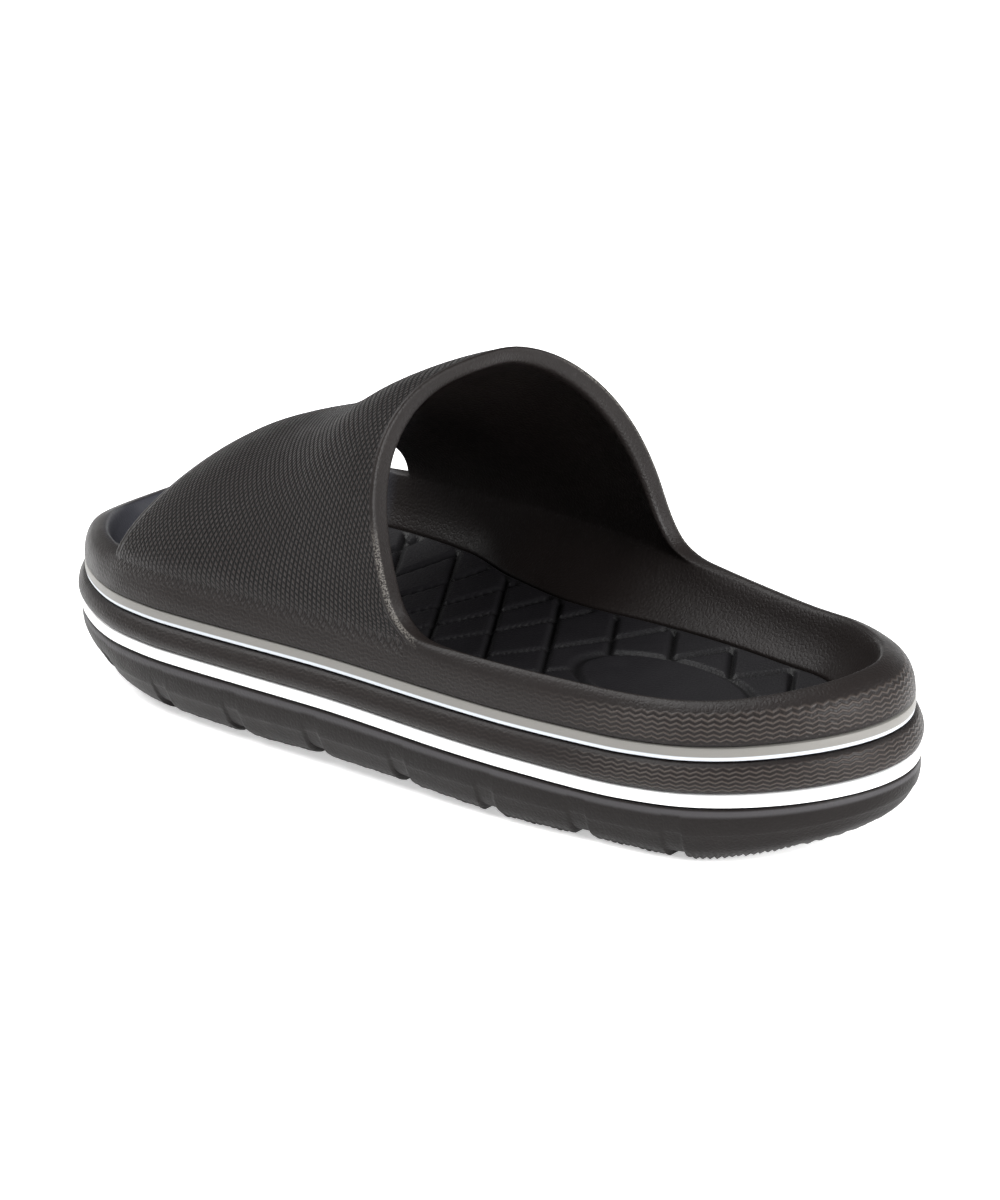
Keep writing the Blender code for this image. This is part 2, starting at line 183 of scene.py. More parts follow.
# Inner side of the cup, from the rim to the pad: share of the drop, of the run, of the run under the strap
CUP_INNER = (
    (0.03, 0.11, 0.00),
    (0.16, 0.22, 0.06),
    (0.42, 0.38, 0.24),
    (0.72, 0.64, 0.56),
    (1.00, 1.00, 1.00),
)
CUP_INNER_ROWS = (0.03, 0.09, 0.16, 0.29, 0.42, 0.57, 0.72, 0.87, 1.0)
# Border of the pad: share of the length, inset outer and inner side
PAD = (
    (0.000, 0.0165, 0.0165),
    (0.126, 0.0155, 0.0165),
    (0.232, 0.0150, 0.0178),
    (0.337, 0.0155, 0.0209),
    (0.463, 0.0165, 0.0262),
    (0.548, 0.0160, 0.0232),
    (0.632, 0.0150, 0.0160),
    (0.717, 0.0140, 0.0138),
    (0.845, 0.0135, 0.0135),
    (1.000, 0.0135, 0.0135),
)
# Height of the pad's border: share of the length, height
BED = (
    (0.000, 0.0300),
    (0.106, 0.0280),
    (0.212, 0.0265),
    (0.528, 0.0264),
    (0.697, 0.0260),
    (0.845, 0.0250),
    (1.000, 0.0240),
)
PAD_THICKNESS = 0.0040
PAD_DISH = 0.0023
PAD_LIP = 0.0004
PAD_GAP = 0.0001
# Rounded border of the pad: inset, height against its border line
PAD_EDGE = (
    (0.0, -PAD_THICKNESS),
    (0.0, -0.0012),
    (0.0001, -0.0006),
    (0.0004, -0.0002),
    (0.0009, 0.0),
)
PAD_CUTS = 480
PAD_ACROSS = 181

# Strap: share of the length at its edges on the inner and the outer side, then its sections
STRAP_BACK = (0.354, 0.415)
STRAP_FRONT = (0.730, 0.819)
STRAP_WALL = 0.0045
STRAP_SIDE_WALL = 0.0050
STRAP_BLEND = 0.045
STRAP_HEIGHT = 0.1020
# Share of the strap from its back edge, share of its greatest height, side bulge, forward sweep,
# leanness of the outer and the inner shoulder
STRAP = (
    (0.00, 1.0000, 0.0030, 0.0165, 0.76, 0.96),
    (0.10, 0.9686, 0.0018, 0.0190, 0.77, 0.94),
    (0.20, 0.9245, 0.0010, 0.0196, 0.82, 0.92),
    (0.35, 0.8490, 0.0003, 0.0166, 0.92, 0.92),
    (0.50, 0.7873, 0.0000, 0.0128, 1.03, 0.92),
    (0.62, 0.7480, 0.0000, 0.0097, 1.11, 0.92),
    (0.75, 0.7147, 0.0000, 0.0064, 1.20, 0.92),
    (0.88, 0.6745, 0.0000, 0.0031, 1.29, 0.92),
    (1.00, 0.6275, 0.0000, 0.0000, 1.38, 0.90),
)
# Fillet between collar and rim, on the outer and the inner side
COLLAR_FILLET = (0.0060, 0.0090)
FILLET_HEIGHT = (0.0100, 0.0140)
FILLET_FADE = 0.25
# The wall grows thicker towards the collar
COLLAR_THICKEN = 0.0022
COLLAR_RUN = 0.0140
# Turns of the points over the strap, from the rim up to just short of the ridge, in degrees
STRAP_TURNS = (2.0, 4.5, 8.0, 12.0, 17.0, 23.0, 30.0, 38.0, 47.0, 57.0, 67.0, 78.0)
# Rounded face of both strap edges: share of the wall, push away from the strap
STRAP_LIP = ((0.10, 0.0008), (0.50, 0.0012), (0.90, 0.0011))
# Columns of the upper: round the heel, along the strap and round the toe
HEEL_CUTS = 24
STRAP_PARTS = (0.0, 0.012, 0.035, *(0.075 + 0.05 * k for k in range(18)), 0.965, 0.988, 1.0)
TOE_CUTS = 17

# Quilting of the footbed: straight ribs, a fan of lines that crosses them, and an oval at the heel
RIB_SLOPE = 0.70
RIB_PITCH = 0.0192
RIB_START = -0.0260
FAN_SLOPE = -0.505
FAN_SPREAD = 6.9
FAN_START = -0.0048
FAN_PITCH = 0.0123
FAN_PITCH_HEEL = 0.0180
QUILT_WIDTH = 0.0014
QUILT_DEPTH = 0.0014
OVAL_MIDDLE = (0.0024, -0.0620)
OVAL_HALF = (0.0140, 0.0260)

# Waves at the heel: distance between lines, length of a wave, swing and depth of its relief
WAVE_PITCH = 0.0012
WAVE_LENGTH = 0.0032
WAVE_SWING = 0.0006
WAVE_DEPTH = 0.00016
# Diamonds of the strap: their length along the shoe and round the strap, and the depth of the relief
KNURL_RUN = 0.0020
KNURL_CLIMB = 0.0026
KNURL_DEPTH = 0.00115

BLACK_WARM = (0.0080, 0.0062, 0.0058)
BLACK_COOL = (0.0062, 0.0058, 0.0068)
# Painted highlight for the line along the outsole's upper edge.
EDGE_HIGHLIGHT = (0.0400, 0.0380, 0.0400)
# Painted highlight on the lines of the heel waves.
WAVE_RIDGE_HIGHLIGHT = (0.0420, 0.0340, 0.0300)
# Painted highlight: specks of glint along the strap's back corner.
CORNER_GLINTS = (0.0850, 0.0790, 0.0720)
# Painted light on the inner wall of the cup at the toe.
TOE_WALL_LIGHT = (0.0300, 0.0305, 0.0370)
WHITE = (0.90, 0.90, 0.90)
# Painted reflection of the floor on the lower third of the white stripe.
WHITE_SHEEN = (0.92, 0.92, 0.93)
GREY = (0.150, 0.145, 0.134)
# Painted reflection of the floor on the lower third of the grey stripe.
GREY_SHEEN = (0.50, 0.53, 0.57)

# Studio: name, place, width and power of each light
FLOOR_WIDTH = 60.0
FLOOR_GLOW = 0.48
SURROUND = 0.26
LIGHTS = (
    ("overhead", (-0.45, 0.85, 1.45), 1.7, 52.0),
    ("left", (-1.50, 0.20, 0.80), 0.9, 3.0),
    ("right", (1.20, -1.20, 0.90), 0.8, 12.0),
    ("heel", (-0.20, -1.60, 0.80), 0.9, 52.0),
)
# The camera as fitted to the photograph: place, tilt and heading in degrees, and lens. Seen from it,
# the shoe lies to the left of and below the middle, by this much for each metre ahead.
CAMERA_PLACE = (-0.6901, -0.6363, 0.4121)
CAMERA_TILT = 69.98
CAMERA_HEADING = -51.58
CAMERA_LENS = 118.0
SHOE_ASIDE = (-147.5 / 2400.0, -85.5 / 2400.0)


def curve(table, column, share):
    """Value of one column of a table at a share, without overshoot between the rows."""
    rows = np.array(table, dtype=float)
    x = rows[:, 0]
    y = rows[:, column]
    step = np.diff(x)
    slope = np.diff(y) / step
    tangent = np.empty(len(x))
    tangent[0] = slope[0]
    tangent[-1] = slope[-1]
    for k in range(1, len(x) - 1):
        before, after = slope[k - 1], slope[k]
        if before * after <= 0.0:
            tangent[k] = 0.0
            continue
        first = 2.0 * step[k] + step[k - 1]
        second = step[k] + 2.0 * step[k - 1]
        tangent[k] = (first + second) / (first / before + second / after)
    share = np.clip(np.asarray(share, dtype=float), x[0], x[-1])
    cell = np.clip(np.searchsorted(x, share, side="right") - 1, 0, len(x) - 2)
    t = (share - x[cell]) / step[cell]
    start = (1.0 + 2.0 * t) * (1.0 - t) ** 2 * y[cell]
    leave = t * (1.0 - t) ** 2 * step[cell] * tangent[cell]
    end = t * t * (3.0 - 2.0 * t) * y[cell + 1]
    arrive = t * t * (t - 1.0) * step[cell] * tangent[cell + 1]
    return start + leave + end + arrive


def smooth(value, low, high):
    """Smooth step from 0 to 1 while the value goes from low to high."""
    t = np.clip((value - low) / (high - low), 0.0, 1.0)
    return t * t * (3.0 - 2.0 * t)


def share_of(turn):
    """Share of the length from the heel; the turn runs from 0 at the heel to pi at the toe."""
    return (1.0 - np.cos(turn)) / 2.0


def turn_of(share):
    """The turn on the inner side at a share of the length."""
    return np.arccos(1.0 - 2.0 * np.asarray(share, dtype=float))


def two_sided(table, outer, inner, turn):
    """Column for the side of the foot on which each turn lies."""
    share = share_of(turn)
    return np.where(turn >= 0.0, curve(table, inner, share), curve(table, outer, share))


def outline(turn):
    """Points of the widest line of the side, seen from above."""
    share = share_of(turn)
    half = np.where(turn >= 0.0, curve(OUTLINE, 2, share), -curve(OUTLINE, 1, share))
    heel = np.clip((HEEL_ROUND - share) / HEEL_ROUND, 0.0, 1.0)
    toe = np.clip((share - 1.0 + TOE_ROUND) / TOE_ROUND, 0.0, 1.0)
    close = np.sqrt(1.0 - heel ** 2) * (1.0 - toe ** TOE_FULLNESS) ** (1.0 / TOE_FULLNESS)
    return np.stack([half * close + SIDE_SHIFT, (share - 0.5) * LENGTH], axis=1)


def wrap(turn):
    """The same turn, between minus pi and pi."""
    return (turn + math.pi) % (2.0 * math.pi) - math.pi


def offset(turn, inset):
    """Points of the outline moved inwards at a right angle to it."""
    tangent = outline(wrap(turn + TURN_STEP)) - outline(wrap(turn - TURN_STEP))
    tangent /= np.linalg.norm(tangent, axis=1)[:, None]
    inward = np.stack([-tangent[:, 1], tangent[:, 0]], axis=1)
    return outline(turn) + inward * np.reshape(inset, (-1, 1))


def ring(turn, inset, height):
    """One closed row of points round the shoe. A height function is read at each point's own share."""
    flat = offset(turn, inset * np.ones(len(turn)))
    if callable(height):
        height = height(flat[:, 1] / LENGTH + 0.5)
    return np.column_stack([flat, height * np.ones(len(turn))])


def level(column, shift=0.0):
    """Height of a line of the sole, moved up by a shift."""
    return lambda share: curve(LEVELS, column, share) + shift


def bed(shift=0.0):
    """Height of the border of the pad, moved up by a shift."""
    return lambda share: curve(BED, 1, share) + shift


def between(low, high, part):
    """Height a part of the way from a low line to a high one."""
    return lambda share: low(share) + (high(share) - low(share)) * part


def round_trip(inner):
    """Turns of a closed row: up the inner side from heel to toe, back along the outer side, and home."""
    return np.concatenate([inner, -inner[-2::-1]])


def along(turn):
    """Distance round the outline at each turn of a closed row."""
    points = outline(turn)
    steps = np.linalg.norm(np.diff(points, axis=0), axis=1)
    return np.concatenate([[0.0], np.cumsum(steps)])


def select_only(pieces):
    """Selects these pieces and nothing else."""
    for other in bpy.context.scene.objects:
        other.select_set(False)
    for piece in pieces:
        piece.select_set(True)
    bpy.context.view_layer.objects.active = pieces[0]


def patch(points, flat=None, marks=None):
    """A grid primitive with its points placed row by row, its flat coordinates and its marks."""
    points = np.asarray(points, dtype=float)
    rows, columns = points.shape[:2]
    bpy.ops.object.select_all(action="DESELECT")
    bpy.ops.mesh.primitive_grid_add(x_subdivisions=columns - 1, y_subdivisions=rows - 1, size=1.0)
    sheet = bpy.context.active_object
    mesh = sheet.data
    mesh.vertices.foreach_set("co", points.reshape(-1))
    if flat is None:
        flat = np.zeros((rows, columns, 2))
    corner = np.empty(len(mesh.loops), dtype=int)
    mesh.loops.foreach_get("vertex_index", corner)
    mesh.uv_layers[0].name = "flat"
    mesh.uv_layers[0].data.foreach_set("uv", np.asarray(flat).reshape(-1, 2)[corner].reshape(-1))
    for name, values in (marks or {}).items():
        layer = mesh.attributes.new(name, "FLOAT", "POINT")
        layer.data.foreach_set("value", (np.zeros((rows, columns)) + values).reshape(-1))
    return sheet


def weld(name, sheets):
    """Joins patches into one closed piece whose faces point outwards."""
    select_only(sheets)
    if len(sheets) > 1:
        bpy.ops.object.join()
    piece = bpy.context.active_object
    bpy.ops.object.mode_set(mode="EDIT")
    bpy.ops.mesh.select_all(action="SELECT")
    bpy.ops.mesh.remove_doubles(threshold=1e-6)
    bpy.ops.mesh.normals_make_consistent(inside=False)
    bpy.ops.object.mode_set(mode="OBJECT")
    piece.name = name
    piece.data.name = name
    return piece


def subdivide(piece, levels):
    """Rounds a piece off by subdividing it for good."""
    select_only([piece])
    bpy.ops.object.modifier_add(type="SUBSURF")
    modifier = piece.modifiers[-1]
    modifier.levels = levels
    modifier.render_levels = levels
    bpy.ops.object.modifier_apply(modifier=modifier.name)


def shade(piece, angle):
    """Smooth faces, with the edges above this angle left sharp."""
    select_only([piece])
    bpy.ops.object.shade_smooth_by_angle(angle=math.radians(angle))


def lid(row, shares, shape=None):
    """Rows of a cap across the shoe, from a closed row whose first and last points are one."""
    half = (len(row) - 1) // 2
    lines = []
    for k in range(half + 1):
        left = row[len(row) - 1 - k]
        right = row[k]
        points = left + (right - left) * np.reshape(shares, (-1, 1))
        if shape:
            points = shape(points, shares, right[0] - left[0])
        lines.append(points)
    return np.array(lines)


def make_outsole():
    """Bottom layer with its cross grooves and the fine teeth along the lower edge of the lugs."""
    heel = share_of(np.linspace(0.0, TEETH_FROM - 0.02, 24))
    middle = np.linspace(share_of(TEETH_FROM), share_of(TEETH_TO), 560)
    toe = share_of(np.linspace(TEETH_TO + 0.02, math.pi, 24))
    inner = turn_of(np.concatenate([heel, middle, toe]))
    inner[0] = 0.0
    inner[-1] = math.pi
    turn = round_trip(inner)
    share = share_of(turn)
    round_way = along(turn)
    nearest = np.min(np.abs(share[:, None] - np.array(GROOVES)[None, :]), axis=1) * LENGTH
    groove = GROOVE_DEPTH * (1.0 - smooth(nearest, 0.36 * GROOVE_WIDTH, 0.5 * GROOVE_WIDTH))
    phase = np.abs((round_way / TOOTH_PITCH) % 1.0 - 0.5) * 2.0
    teeth = TOOTH_DEPTH * phase * (1.0 - groove / GROOVE_DEPTH)
    top = level(2, -WHITE_HEIGHT / 2.0 - LAYER_GAP)
    tuck = curve(TUCK, 1, share)
    rows, flats = [], []
    for rise in OUTSOLE_ROWS:
        pull = float(curve(OUTSOLE_SIDE, 1, rise))
        cut = TOOTH_INTO_SIDE * teeth * max(0.0, 1.0 - rise / TOOTH_REACH_SIDE)
        row = ring(turn, tuck * pull + cut, between(level(1), top, rise))
        row[:, 2] += groove * (1.0 - rise) + teeth * max(0.0, 1.0 - rise / TOOTH_REACH_UP)
        rows.append(row)
        flats.append(np.column_stack([round_way, np.full(len(turn), rise * OUTSOLE_MAP_HEIGHT)]))
    side = patch(rows, flats)
    under = lid(rows[0], np.linspace(0.0, 1.0, 25))
    top_cap = lid(rows[-1], np.linspace(0.0, 1.0, 3))
    piece = weld("outsole_moulding", [side, patch(under), patch(top_cap)])
    shade(piece, 40)
    return piece


def make_stripe(name, column, height, inset):
    """Closed band round the shoe with a gently rounded face."""
    turn = round_trip(np.linspace(0.0, math.pi, BAND_CUTS))
    upper_half = [(depth, -part) for depth, part in STRIPE_SECTION[-2::-1]]
    section = [*STRIPE_SECTION, *upper_half, STRIPE_SECTION[0]]
    round_way = along(turn)
    rows = [ring(turn, inset + depth, level(column, height * part)) for depth, part in section]
    flats = [np.column_stack([round_way, np.full(len(turn), height * part)]) for depth, part in section]
    piece = weld(name, [patch(rows, flats)])
    shade(piece, 40)
    return piece


def make_midsole():
    """Layer between the stripes, with the core inside the white one and the bed under the pad."""
    turn = round_trip(np.linspace(0.0, math.pi, BAND_CUTS))
    low = level(2, -WHITE_HEIGHT / 2.0)
    ledge = level(2, WHITE_HEIGHT / 2.0 + LAYER_GAP)
    top = level(3, -GREY_HEIGHT / 2.0 - LAYER_GAP)
    core = STRIPE_DEPTH + LAYER_GAP
    step = GREY_INSET + STRIPE_DEPTH + LAYER_GAP
    profile = [(core, low, 0.0), (core, ledge, 0.0)]
    for part in MIDSOLE_ROWS:
        profile.append((float(curve(MIDSOLE_SIDE, 1, part)), between(ledge, top, part), part))
    profile += [(step, top, 1.0), (step + 0.0001, bed(-PAD_THICKNESS - LAYER_GAP), 1.0)]
    round_way = along(turn)
    rows, flats = [], []
    for inset, height, part in profile:
        rows.append(ring(turn, inset, height))
        flats.append(np.column_stack([round_way, np.full(len(turn), part * MIDSOLE_MAP_HEIGHT)]))
    ends = np.linspace(0.0, 1.0, 3)
    sheets = [patch(rows, flats), patch(lid(rows[0], ends)), patch(lid(rows[-1], ends))]
    piece = weld("midsole_moulding", sheets)
    shade(piece, 35)
    return piece


def quilt(x, y):
    """How deep each point of the footbed lies in its quilting, from 0 to 1."""
    rib = (y - RIB_SLOPE * x - RIB_START) / RIB_PITCH
    rib = np.abs(rib - np.round(rib)) * RIB_PITCH / math.hypot(1.0, RIB_SLOPE)
    fan = (y - FAN_SLOPE * x) / (1.0 + FAN_SPREAD * x) - FAN_START
    fan = np.maximum(fan, 0.0) / FAN_PITCH + np.minimum(fan, 0.0) / FAN_PITCH_HEEL
    pitch = np.where(fan > 0.0, FAN_PITCH, FAN_PITCH_HEEL)
    fan = np.abs(fan - np.round(fan)) * pitch * 0.9
    ribs = 1.0 - smooth(rib, 0.0, QUILT_WIDTH)
    lines = np.maximum(ribs, 0.8 * (1.0 - smooth(fan, 0.0, QUILT_WIDTH)))
    oval = np.hypot((x - OVAL_MIDDLE[0]) / OVAL_HALF[0], (y - OVAL_MIDDLE[1]) / OVAL_HALF[1])
    border = 1.0 - smooth(np.abs(oval - 1.0) * OVAL_HALF[0], 0.0, QUILT_WIDTH)
    return np.maximum(lines * smooth(oval, 1.0, 1.06), 0.7 * border)


def make_footbed():
    """Quilted pad, hollow across, with a plain oval at the heel."""
    turn = round_trip(np.linspace(0.0, math.pi, PAD_CUTS))
    inset = two_sided(PAD, 1, 2, turn) + PAD_GAP
    widest = 2.0 * float(curve(OUTLINE, 2, 0.5))
    rows = [ring(turn, inset + pull, bed(drop)) for pull, drop in PAD_EDGE]

    def hollow(points, shares, width):
        """Sinks one line of points across the pad into its dish and its grooves."""
        shares = np.asarray(shares)
        points = points.copy()
        points[:, 2] -= PAD_DISH * 4.0 * shares * (1.0 - shares) * width / widest
        fade = smooth(np.minimum(shares, 1.0 - shares) * width, 0.0, 0.0016)
        points[:, 2] -= QUILT_DEPTH * quilt(points[:, 0], points[:, 1]) * fade
        return points

    spread = 0.5 - 0.5 * np.cos(np.linspace(0.0, math.pi, PAD_ACROSS))
    shares = 0.35 * spread + 0.65 * np.linspace(0.0, 1.0, PAD_ACROSS)
    top = lid(rows[-1], shares, hollow)
    # Depth of the quilting, kept as a mark for the painted shade in the grooves.
    groove_shades = quilt(top[:, :, 0], top[:, :, 1])
    under = lid(rows[0], np.linspace(0.0, 1.0, 3))
    piece = weld("quilted_footbed", [patch(rows), patch(top, marks={"seam": groove_shades}), patch(under)])
    shade(piece, 60)
    return piece


def under_strap(turn):
    """How far each column of the cup belongs to the strap: 1 under it, 0 at the open rim."""
    share = share_of(turn)
    back = np.where(turn >= 0.0, STRAP_BACK[0], STRAP_BACK[1])
    front = np.where(turn >= 0.0, STRAP_FRONT[0], STRAP_FRONT[1])
    past = np.minimum(share - back, front - share)
    return smooth(past / STRAP_BLEND, -1.0, 0.0)


def strap_line(left, right, part, wall):
    """Points over the strap between two points of the rim, from the outer side to the inner side."""
    top = STRAP_HEIGHT * float(curve(STRAP, 1, part)) - wall
    bulge = float(curve(STRAP, 2, part))
    sweep = float(curve(STRAP, 3, part))
    leans = (float(curve(STRAP, 4, part)), float(curve(STRAP, 5, part)))
    thicken = COLLAR_THICKEN * (1.0 - smooth(part * LENGTH * 0.4, 0.0, COLLAR_RUN)) * (wall > 0.0)
    turns = [math.radians(t) for t in STRAP_TURNS]
    turns = turns + [math.pi / 2.0] + [math.pi - t for t in reversed(turns)]
    points = [left]
    for t in turns:
        inner = int(t > math.pi / 2.0)
        lean = leans[inner]
        fillet = COLLAR_FILLET[inner] * max(0.0, 1.0 - part / FILLET_FADE) ** 2
        side = math.copysign(abs(math.cos(t)) ** lean, -math.cos(t))
        rise = math.sin(t) ** lean
        base = left + (right - left) * (side + 1.0) / 2.0
        x = base[0] + bulge * side * math.sin(2.0 * min(t, math.pi - t)) - thicken * side * rise ** 0.5
        z = base[2] + (top - base[2]) * rise
        climb = min(max((z - base[2]) / FILLET_HEIGHT[inner], 0.0), 1.0)
        y = base[1] + fillet * math.sqrt(1.0 - (1.0 - climb) ** 2) + sweep * rise
        points.append(np.array([x, y, z]))
    points.append(right)
    return np.array(points)


def cage_turns():
    """Turns of the upper's columns, closer together towards both edges of the strap."""
    sides = []
    for back, front in zip(STRAP_BACK, STRAP_FRONT):
        heel = np.linspace(0.0, float(turn_of(back)), HEEL_CUTS + 1)
        strap = turn_of(back + (front - back) * np.array(STRAP_PARTS))
        toe = np.linspace(float(turn_of(front)), math.pi, TOE_CUTS + 1)
        sides.append(np.concatenate([heel, strap[1:], toe[1:]]))
    inner, outer = sides
    return np.concatenate([inner, -outer[-2::-1]])


def make_upper():
    """Strap and foot cup in one, from a cage of patches that is subdivided."""
    turn = cage_turns()
    count = len(turn) - 1
    share = share_of(turn)
    side_y = outline(turn)[:, 1]
    grey = level(3)(share)
    base = grey + GREY_HEIGHT / 2.0 + LAYER_GAP
    rim_inset = two_sided(RIM, 1, 2, turn)
    rim_top = grey + two_sided(RIM, 3, 4, turn)
    pad_inset = two_sided(PAD, 1, 2, turn)
    pad_top = ring(turn, pad_inset, bed(PAD_LIP))[:, 2]
    skirt = GREY_INSET + STRIPE_DEPTH + 2.0 * LAYER_GAP + 0.0001
    under = under_strap(turn)
    wall = GREY_INSET + (rim_inset - GREY_INSET) * CUP_OUTER[-1][2] + STRAP_SIDE_WALL
    back = np.where(turn >= 0.0, STRAP_BACK[0], STRAP_BACK[1])
    front = np.where(turn >= 0.0, STRAP_FRONT[0], STRAP_FRONT[1])
    round_way = along(turn)
    round_way *= WAVE_LENGTH * round(round_way[-1] / WAVE_LENGTH) / round_way[-1]
    from_back = (share - back) * LENGTH
    to_front = (front - share) * LENGTH
    ones = np.ones(count + 1)

    def outer_inset(rise):
        """Inset of the cup's outer side, by the share of its rise."""
        pull = curve(CUP_OUTER, 1, rise) + (curve(CUP_OUTER, 2, rise) - curve(CUP_OUTER, 1, rise)) * under
        return GREY_INSET + (rim_inset - GREY_INSET) * pull

    def inner_inset(drop):
        """Inset of the cup's inner side, by the share of its drop from the rim to the pad."""
        at_rim = rim_inset + (pad_inset - rim_inset) * curve(CUP_INNER, 1, drop)
        at_strap = wall + (pad_inset - wall) * curve(CUP_INNER, 2, drop)
        return at_rim + (at_strap - at_rim) * under

    rows, climbs, outward = [], [], []

    def row(inset, height, climb, out):
        """One closed row of the cup: out is 1 where it shows from outside."""
        rows.append(ring(turn, inset, height))
        climbs.append(climb * ones)
        outward.append(out * ones)

    for drop in CUP_INNER_ROWS:
        row(inner_inset(drop), rim_top - (rim_top - pad_top) * drop, 0.020 + 0.02 * drop, 0.0)
    foot = bed(-PAD_THICKNESS)
    ledge = level(3, GREY_HEIGHT / 2.0 + LAYER_GAP)
    hidden = (
        (pad_inset, bed(PAD_LIP - 0.0003)),
        (pad_inset, bed(-PAD_THICKNESS + 0.0003)),
        (pad_inset, foot),
        (pad_inset - 0.0004, foot),
        (skirt + 0.0004, foot),
        (skirt, foot),
        (skirt, ledge),
        (skirt - 0.0004, ledge),
        (GREY_INSET + 0.0004, ledge),
    )
    for inset, height in hidden:
        row(inset, height, 0.05, 0.0)
    climbs[-1][:] = -0.0004
    for rise in CUP_OUTER_ROWS:
        row(outer_inset(rise), base + (rim_top - base) * rise, (rim_top - base) * rise, 1.0)
    inner, outer = rows[0], rows[-1]
    edge_climb = climbs[-1]

    # Strap, section by section from its back edge to its front edge
    first = HEEL_CUTS
    last = HEEL_CUTS + len(STRAP_PARTS) - 1
    ks = np.arange(first, last + 1)
    outside, inside = [], []
    for k, part in zip(ks, STRAP_PARTS):
        outside.append(strap_line(outer[count - k], outer[k], part, 0.0))
        inside.append(strap_line(inner[count - k], inner[k], part, STRAP_WALL))
    outside, inside = np.array(outside), np.array(inside)
    across = np.linspace(0.0, 1.0, outside.shape[1])
    steps = np.linalg.norm(np.diff(outside, axis=1), axis=2)
    girth = np.concatenate([np.zeros((len(ks), 1)), np.cumsum(steps, axis=1)], axis=1)
    ridge = outside.shape[1] // 2
    to_ridge = girth - girth[:, ridge:ridge + 1]

    # Distance from the ridge of the strap, carried on down the sides of the cup
    reach = np.where(
        turn >= 0.0,
        np.interp(share, share[ks], to_ridge[:, -1]),
        np.interp(share, share[count - ks], to_ridge[:, 0]),
    )
    side = np.where(turn >= 0.0, 1.0, -1.0)
    overs = [reach + side * (edge_climb - climb) for climb in climbs]
    flats = [np.column_stack([round_way, climb]) for climb in climbs]
    marks = {
        "run": side_y,
        "over": np.array(overs),
        "from_back": from_back,
        "to_front": to_front,
        "out": np.array(outward),
    }
    sheets = [patch(rows, flats, marks)]

    # Crest of the open rim, round the heel and round the toe
    high = rim_top - outer[:, 2]
    outer_edge = outer_inset(CUP_OUTER_ROWS[-1])
    inner_edge = inner_inset(CUP_INNER_ROWS[0])
    crest = [
        outer,
        ring(turn, outer_edge + (rim_inset - outer_edge) * 0.45, rim_top - high * 0.20),
        ring(turn, rim_inset, rim_top + 0.0003),
        ring(turn, rim_inset + (inner_edge - rim_inset) * 0.55, rim_top - (rim_top - inner[:, 2]) * 0.22),
        inner,
    ]
    lifts = (0.0, 0.0004, 0.0008, 0.0020, 0.0040)
    shown = (1.0, 1.0, 0.7, 0.3, 0.0)
    round_heel = np.arange(-first, first + 1) % count
    for run in (round_heel, np.arange(last, count - last + 1)):
        way = round_way[run].copy()
        if run is round_heel:
            way[:first] -= round_way[-1]
        flat = [np.column_stack([way, edge_climb[run] + lift]) for lift in lifts]
        mark = {
            "run": side_y[run],
            "over": reach[run],
            "from_back": from_back[run],
            "to_front": to_front[run],
            "out": np.reshape(shown, (-1, 1)),
        }
        sheets.append(patch([line[run] for line in crest], flat, mark))

    def over_strap(values):
        """A value from the outer side to the inner side, section by section."""
        return values[count - ks][:, None] * (1.0 - across) + values[ks][:, None] * across

    strap_run = over_strap(side_y)
    up_outer = girth + edge_climb[count - ks][:, None]
    up_inner = girth[:, -1:] - girth + edge_climb[ks][:, None]
    climb = np.minimum(up_outer, up_inner)
    marks = {
        "run": strap_run,
        "over": to_ridge,
        "from_back": over_strap(from_back),
        "to_front": over_strap(to_front),
    }
    flat = np.stack([strap_run + 0.3, climb], axis=2)
    sheets.append(patch(outside, flat, dict(marks, out=1.0)))
    sheets.append(patch(inside, flat, dict(marks, out=0.0)))

    # Faces of the strap's back and front edge
    for end, column, way in ((0, first, -1.0), (-1, last, 1.0)):
        lines = [outside[end]]
        for (part, push), rim in zip(STRAP_LIP, crest[1:-1]):
            line = outside[end] + (inside[end] - outside[end]) * part
            line[:, 1] += way * push
            line[0], line[-1] = rim[count - column], rim[column]
            lines.append(line)
        lines.append(inside[end])
        mark = {name: values[end] for name, values in marks.items()}
        mark["out"] = np.reshape(shown, (-1, 1))
        sheets.append(patch(lines, [flat[end]] * 5, mark))
    piece = weld("strap_and_cup", sheets)
    subdivide(piece, 2)
    shade(piece, 60)
    return piece


class Line:
    """A value on its way through a finish; arithmetic on it adds Math nodes."""

    def __init__(self, finish, socket):
        self.finish = finish
        self.socket = socket

    def math(self, operation, *values):
        return self.finish.node("ShaderNodeMath", {"operation": operation}, *values)

    def __add__(self, other):
        return self.math("ADD", self, other)

    def __radd__(self, other):
        return self.math("ADD", other, self)

    def __sub__(self, other):
        return self.math("SUBTRACT", self, other)

    def __rsub__(self, other):
        return self.math("SUBTRACT", other, self)

    def __mul__(self, other):
        return self.math("MULTIPLY", self, other)

    def __truediv__(self, other):
        return self.math("DIVIDE", self, other)

    def size(self):
        """The value without its sign."""
        return self.math("ABSOLUTE", self)

    def least(self, other):
        return self.math("MINIMUM", self, other)

    def most(self, other):
        return self.math("MAXIMUM", self, other)

    def zigzag(self):
        """Runs from 0 to 1 and back over each whole number."""
        return self.math("PINGPONG", self * 2.0, 1.0)

    def ramp(self, low, high, start=0.0, end=1.0):
        """Smooth step from start to end while the value goes from low to high."""
        settings = {"interpolation_type": "SMOOTHSTEP"}
        return self.finish.node("ShaderNodeMapRange", settings, self, low, high, start, end)


